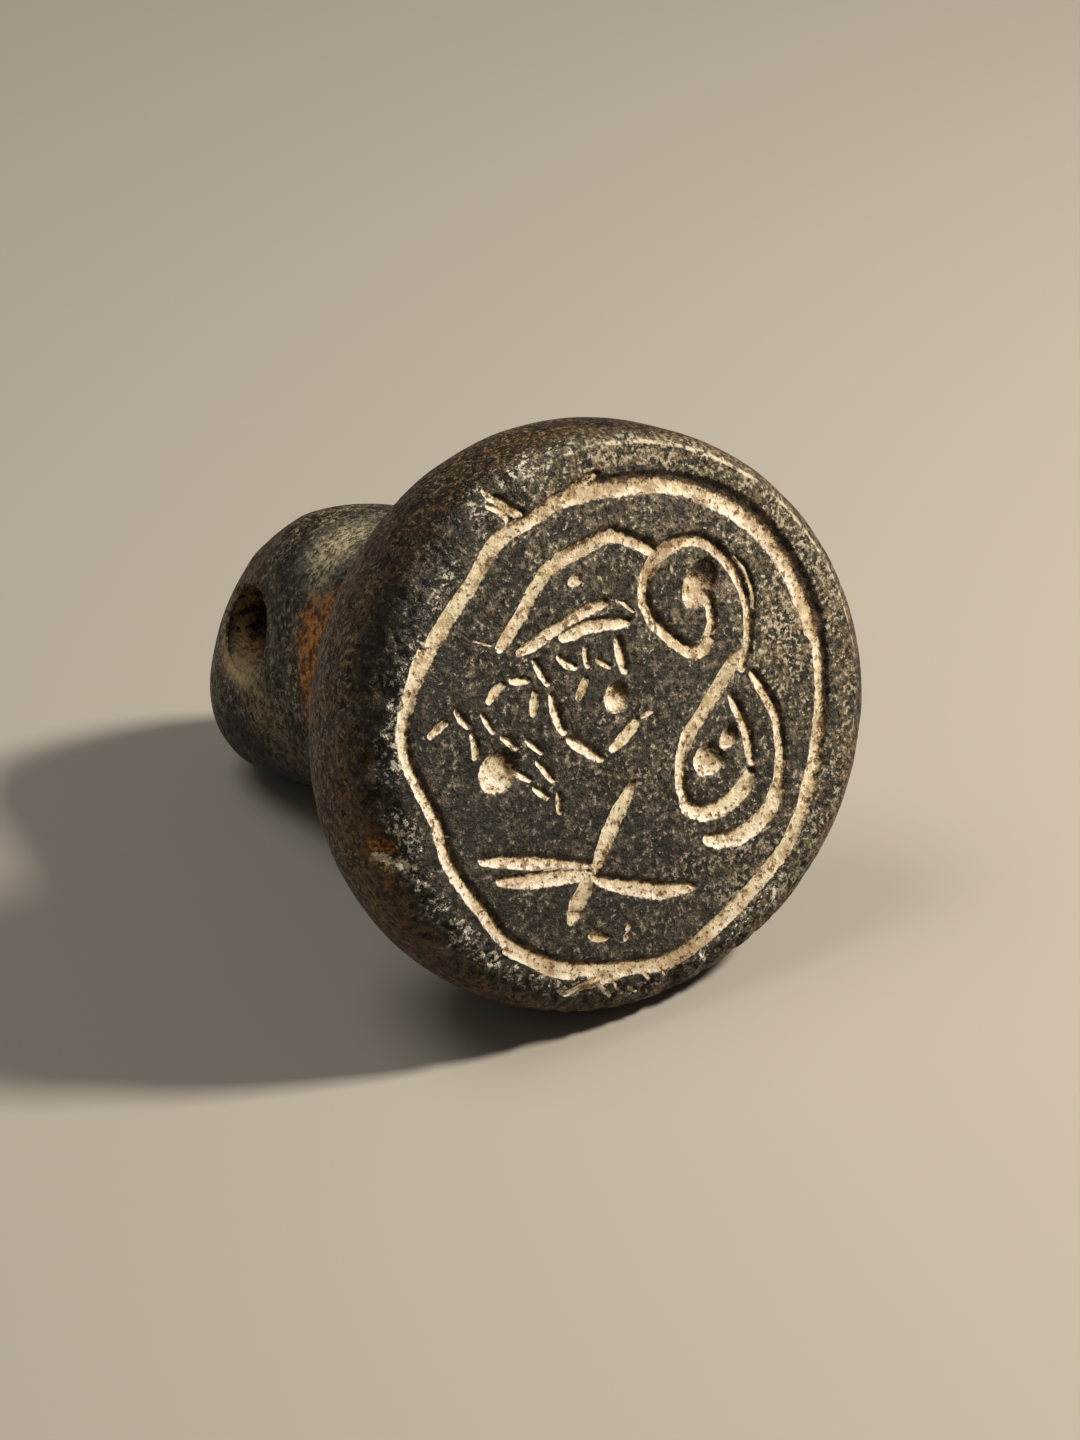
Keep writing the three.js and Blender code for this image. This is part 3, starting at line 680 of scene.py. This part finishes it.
# Patterns by name: first the marks on the skin, then noise whose swells are so many millimetres across, with
# its detail and roughness. The real grains go down to 0.1 mm; none is drawn finer than shows in the render.
pattern = {name: add("Attribute", {}, "Fac", attribute_name=name) for name in marks}
on_stone = add("TexCoord", {}, "Object")
for name, millimetres, detail, rough in (
    ("fine", 0.3, 3, 0.75),
    ("middling", 0.6, 4, 0.75),
    ("coarse", 2.2, 4, 0.6),
    ("broad", 5.0, 3, 0.55),
    ("clusters", 1.3, 3, 0.6),
    ("white_grain", 0.3, 2.5, 0.7),
    ("skin_grain", 0.28, 3, 0.75),
    ("handle_grain", 0.32, 3, 0.75),
    ("patch_grain", 0.45, 5, 0.85),
    ("stain_grain", 0.9, 4, 0.7),
    ("crystal_grain", 0.34, 3, 0.75),
    ("ragged_grain", 0.36, 4, 0.8),
    ("chalk_blotch", 0.8, 3, 0.7),
    ("chalk_pit", 0.3, 2, 0.7),
):
    swells = {"Vector": on_stone, "Scale": 1 / (millimetres * MM), "Detail": detail, "Roughness": rough}
    pattern[name] = add("TexNoise", swells, "Fac")


def blend(start, **weights):
    """A number plus some patterns, each times its weight."""
    total = start
    for name, weight in weights.items():
        total = add("Math", {0: pattern[name], 1: weight, 2: total}, operation="MULTIPLY_ADD")
    return total


def share_of(*parts):
    """How much of a coat shows: the product of its parts. Each is a number, a pattern's name, or a name with
    the values where that pattern starts and is full, and what it gives there when that isn't 0 and 1."""
    shown = None
    for part in parts:
        if isinstance(part, str):
            part = pattern[part]
        elif isinstance(part, tuple):
            ends = dict(zip(("From Min", "From Max", "To Min", "To Max"), part[1:]))
            part = add("MapRange", {"Value": pattern[part[0]], **ends}, interpolation_type="SMOOTHSTEP")
        shown = part if shown is None else add("Math", {0: shown, 1: part}, operation="MULTIPLY")
    return shown


def coats(under, *layers):
    """Colours laid one over another. Each layer is its colour and the parts that say how much of it shows; a
    colour is a hex code or what other coats gave."""
    colour = linear(under) if isinstance(under, str) else under
    for over, *parts in layers:
        over = linear(over) if isinstance(over, str) else over
        colour = add("Mix", {0: share_of(*parts), 6: colour, 7: over}, 2, data_type="RGBA")
    return colour


# Ground of the face: near-black slate, thick with grey grains of every size; paler where it sparkles, with
# pale grains and painted glints. Painted light makes it paler towards the upper right and painted shade
# darker towards the lower left, as the key light falls
# Paler towards the upper right: painted light on the ground; in the cuts, a browner and narrower deposit
# there
pattern["dirty"] = add("Math", {0: 0.55, 1: pattern["dull"]}, operation="SUBTRACT", use_clamp=True)
pattern["grey_grains"] = blend(0, middling=1, clusters=0.3)
# pale grains, some of them painted glints
pattern["white_grains"] = blend(0, white_grain=1, sparkle=0.12, clusters=0.3)
ground = coats(
    "#24221e",
    ("#474238", ("coarse", 0.36, 0.66)),
    ("#4a4d4b", ("broad", 0.46, 0.6, 0, 0.35)),
    # painted light: paler grains towards the upper right
    ("#7c7362", "dirty", ("middling", 0.36, 0.6, 0.1, 0.7)),
    ("#8b8170", ("grey_grains", 0.63, 0.77, 0, 0.8)),
    ("#0e0c09", ("fine", 0.49, 0.37, 0, 0.95)),
    ("#ded5c0", ("white_grains", 0.77, 0.85)),
    ("#907c58", "sparkle", ("middling", 0.42, 0.6, 0, 0.6)),
    # painted shade: darker towards the lower left
    ("#14110d", "dull", 0.6),
)

# Handled skin: dark warm brown with golden mottling and black pores, polished by use
skin = coats(
    "#160f07",
    ("#402c16", ("coarse", 0.4, 0.6)),
    ("#6c5434", ("middling", 0.48, 0.64, 0, 0.8)),
    ("#0a0704", ("fine", 0.49, 0.37, 0, 0.9)),
    ("#a28d6f", ("skin_grain", 0.53, 0.63, 0, 0.85)),
    ("#140e08", ("broad", 0.5, 0.64, 0, 0.55)),
    # dark stains, and painted shade on the shaded shoulder and under the handle
    ("#0d0a06", "dark_patch", 0.75),
)

# On the handle it is greyer, with pale specks and the cream patch in its grey halo
pattern["handle_specks"] = blend(0, handle_grain=1, clusters=0.3)
pattern["where_not_dark"] = blend(0.8, dark_patch=-0.55)
pattern["cream_specks"] = blend(0, patch_grain=1, pale_patch=0.1)
handle_skin = coats(
    "#150f08",
    ("#3d3222", ("coarse", 0.4, 0.6)),
    ("#72624a", ("middling", 0.48, 0.64, 0, 0.7)),
    ("#0a0704", ("fine", 0.5, 0.38, 0, 0.9)),
    ("#17120b", ("broad", 0.52, 0.64, 0, 0.7)),
    # dark stains, and painted shade under the handle
    ("#12100d", "dark_patch", 0.85),
    ("#a89f8a", ("handle_specks", 0.69, 0.77), "where_not_dark"),
    ("#666860", ("pale_patch", 0.03, 0.35), ("middling", 0.4, 0.56, 0.15, 0.6)),
    ("#e2d2ae", ("cream_specks", 0.5, 0.7), ("pale_patch", 0.05, 0.8)),
)

# Over both: golden wear, iron stain, and the cord hole, dark and brown in painted shade, with its lip rubbed
# pale and partly a painted highlight
pattern["stain"] = blend(-0.8, rust=1, stain_grain=1.6)
gold = coats("#7d5a22", ("#a98b56", "on_handle"))
iron_stain = coats("#4a2b0d", ("#cf8534", ("middling", 0.4, 0.62)))
hole_mouth_shade_colour = coats("#24160a", ("#a97f4d", ("middling", 0.42, 0.58)))
skin = coats(
    skin,
    (handle_skin, "on_handle"),
    (gold, "golden", ("middling", 0.4, 0.62), 0.75),
    (iron_stain, ("stain", 0.42, 0.85), ("rust", 0.05, 0.3), 0.9),
    ("#5a3d22", "cord_rub", 0.6),
    # painted shade in the hole's mouth
    (hole_mouth_shade_colour, "in_hole", 0.9),
    # lower lip: cord wear and painted highlight
    ("#cdb183", "hole_lip", ("middling", 0.3, 0.55, 0.5, 0.95)),
    # painted shade deep inside the hole
    ("#120b05", "deep_in_hole", 0.9),
)

# Edge of the face: grey-white crystals on dark stone, the rusty chip with its crust, and the rubbed rim
pattern["ragged"] = blend(-0.5, ragged_grain=1)
pattern["crystals"] = blend(0, crystal_grain=1, broken_edge=0.08)
pattern["chip_bed"] = blend(0, chip_rust=1, ragged=1.6)
pattern["chip_lip"] = blend(0, chip_crust=1, ragged=2.6)
chip_stain = coats("#55300f", ("#b9793a", ("fine", 0.42, 0.56)))
lip_crust = coats("#8f8466", ("#eadfc2", ("fine", 0.4, 0.52)))
stone_colour = coats(
    skin,
    (ground, "on_face"),
    ("#1c1a16", "broken_edge", 0.6),
    ("#e2dccd", ("crystals", 0.57, 0.65), ("broken_edge", 0.1, 0.5), ("clusters", 0.42, 0.54)),
    (chip_stain, ("chip_bed", 0.4, 0.9), 0.9),
    (lip_crust, ("chip_lip", 0.5, 0.8)),
    ("#ddd2b8", ("crisp_edge", 0.4, 0.75), ("middling", 0.42, 0.58, 0.1, 1.0)),
)

# Deposit in the cuts, its light and shade painted: nearly white at the lower left lip as a painted highlight,
# cream, then browner as painted shade towards the bare upper right wall, which is painted near-black as shade
pattern["cut_way"] = blend(-1.5, cut_side=3, ragged=1.5, dirty=0.45)
pattern["cut_edge"] = blend(0, cut_share=OPEN_GROUND, ragged=0.7)
pattern["in_cut"] = share_of(("cut_edge", 1.04, 0.9))
pattern["filled"] = share_of("in_cut", ("cut_way", 0.55, 0.3))
chalk_with_painted_light = coats(
    # painted highlight: nearly white at the lower left lip
    "#fffaf0",
    ("#f2e6c8", ("cut_way", -0.7, 0.1)),
    # painted shade: browner towards the upper right wall
    ("#83663f", ("cut_way", 0.1, 0.5)),
    ("#b09063", ("chalk_blotch", 0.5, 0.6, 0, 0.6)),
    ("#94754a", "dirty", ("coarse", 0.42, 0.6, 0.1, 0.9)),
    # painted shade: deposit darker towards the bottom
    ("#9a7f57", "soiled", ("coarse", 0.4, 0.6, 0.2, 0.75)),
    ("#80603a", ("middling", 0.54, 0.61, 0, 0.85)),
    ("#4a3822", ("chalk_pit", 0.59, 0.66, 0, 0.75)),
)
# The bare upper right wall of each cut: near-black, painted shade
bare_wall_in_painted_shade = coats("#120d08", ("#54422b", ("middling", 0.44, 0.6)))
stone_colour = coats(stone_colour, (bare_wall_in_painted_shade, "in_cut"), (chalk_with_painted_light, "filled"))

# Gloss: low on the stone, dull on the deposit. Grit: 0.3 mm of relief at most, softer on the deposit.
STONE_IOR = 1.54
STONE_SPECULAR = 0.3
GRIT_HEIGHT = 0.3 * MM
pattern["polish"] = share_of(("middling", 0.38, 0.62, 0.6, 0.34))
grit_shape = {
    "Height": blend(0, fine=0.5, middling=0.5),
    "Strength": blend(1, filled=-0.45),
    "Distance": GRIT_HEIGHT,
}
finish = {
    "Base Color": stone_colour,
    "Roughness": blend(0, polish=1, filled=0.35),
    "Normal": add("Bump", grit_shape),
    "IOR": STONE_IOR,
    "Specular IOR Level": STONE_SPECULAR,
}
add("OutputMaterial", {"Surface": add("BsdfPrincipled", finish)})
seal_mesh.materials.clear()
seal_mesh.materials.append(stone_finish)

# Setting: a plain pale floor, soft studio light that rakes the face from its upper right, and the camera at
# the photo's angle.
FLOOR_SIZE = 3.0
FLOOR_COLOUR = "#b4b0a9"
ROOM_COLOUR = "#e2dacc"
ROOM_LIGHT = 0.1
EYE_PLACE = Vector((-142.9978, -216.7750, 157.2805))
EYE_BACK = Vector((-0.490977, -0.717728, 0.493768))
EYE_RIGHT = Vector((0.821834, -0.569625, -0.010803))
EYE_LENS = 125.0
EYE_WIDTH = 36.0
KEY_RAKE = math.radians(32)  # how steeply the key light strikes the face

floor = bmesh.new()
bmesh.ops.create_grid(floor, x_segments=1, y_segments=1, size=FLOOR_SIZE)
floor_sheet = as_object(floor, "floor_sheet")
floor_finish = bpy.data.materials.new("matt_pale_board")
floor_finish.use_nodes = True
board = floor_finish.node_tree.nodes["Principled BSDF"]
board.inputs["Base Color"].default_value = linear(FLOOR_COLOUR)
board.inputs["Roughness"].default_value = 0.9
floor_sheet.data.materials.append(floor_finish)

world = bpy.data.worlds.new("studio")
bpy.context.scene.world = world
world.use_nodes = True
world.node_tree.nodes["Background"].inputs["Color"].default_value = linear(ROOM_COLOUR)
world.node_tree.nodes["Background"].inputs["Strength"].default_value = ROOM_LIGHT

back = EYE_BACK.normalized()
right = EYE_RIGHT.normalized()
up = back.cross(right)
eye = bpy.data.cameras.new("eye")
eye.lens = EYE_LENS
eye.sensor_width = EYE_WIDTH
eye.clip_start = 0.02
eye.clip_end = 10
camera = bpy.data.objects.new("camera", eye)
bpy.context.scene.collection.objects.link(camera)
stance = Matrix((right, up, back)).transposed().to_4x4()
camera.matrix_world = Matrix.Translation(EYE_PLACE * MM) @ stance
bpy.context.scene.camera = camera

# Soft square lamps that look at the face: way to the lamp, then metres away, metres across, watts, colour
key_way = lie.to_3x3() @ Vector((0.6 * math.cos(KEY_RAKE), -math.sin(KEY_RAKE), 0.8 * math.cos(KEY_RAKE)))
for name, way, metres, size, watts, tint in (
    ("key", key_way, 0.3, 0.045, 1.2, "#fff2de"),
    ("top", Vector((-0.35, 0.25, 1.0)), 0.6, 0.3, 1.0, "#fff8ee"),
    ("fill", right * -0.9 + up * 0.3 + back * 0.6, 0.8, 0.6, 0.2, "#fff4e6"),
):
    light = bpy.data.lights.new(name, "AREA")
    light.shape = "SQUARE"
    light.size = size
    light.energy = watts
    light.color = linear(tint)[:3]
    lamp = bpy.data.objects.new(name, light)
    lamp_place = Matrix.Translation(FACE_MIDDLE * MM + way.normalized() * metres)
    lamp.matrix_world = lamp_place @ way.to_track_quat("Z", "Y").to_matrix().to_4x4()
    bpy.context.scene.collection.objects.link(lamp)

bpy.context.scene.view_settings.view_transform = "Standard"
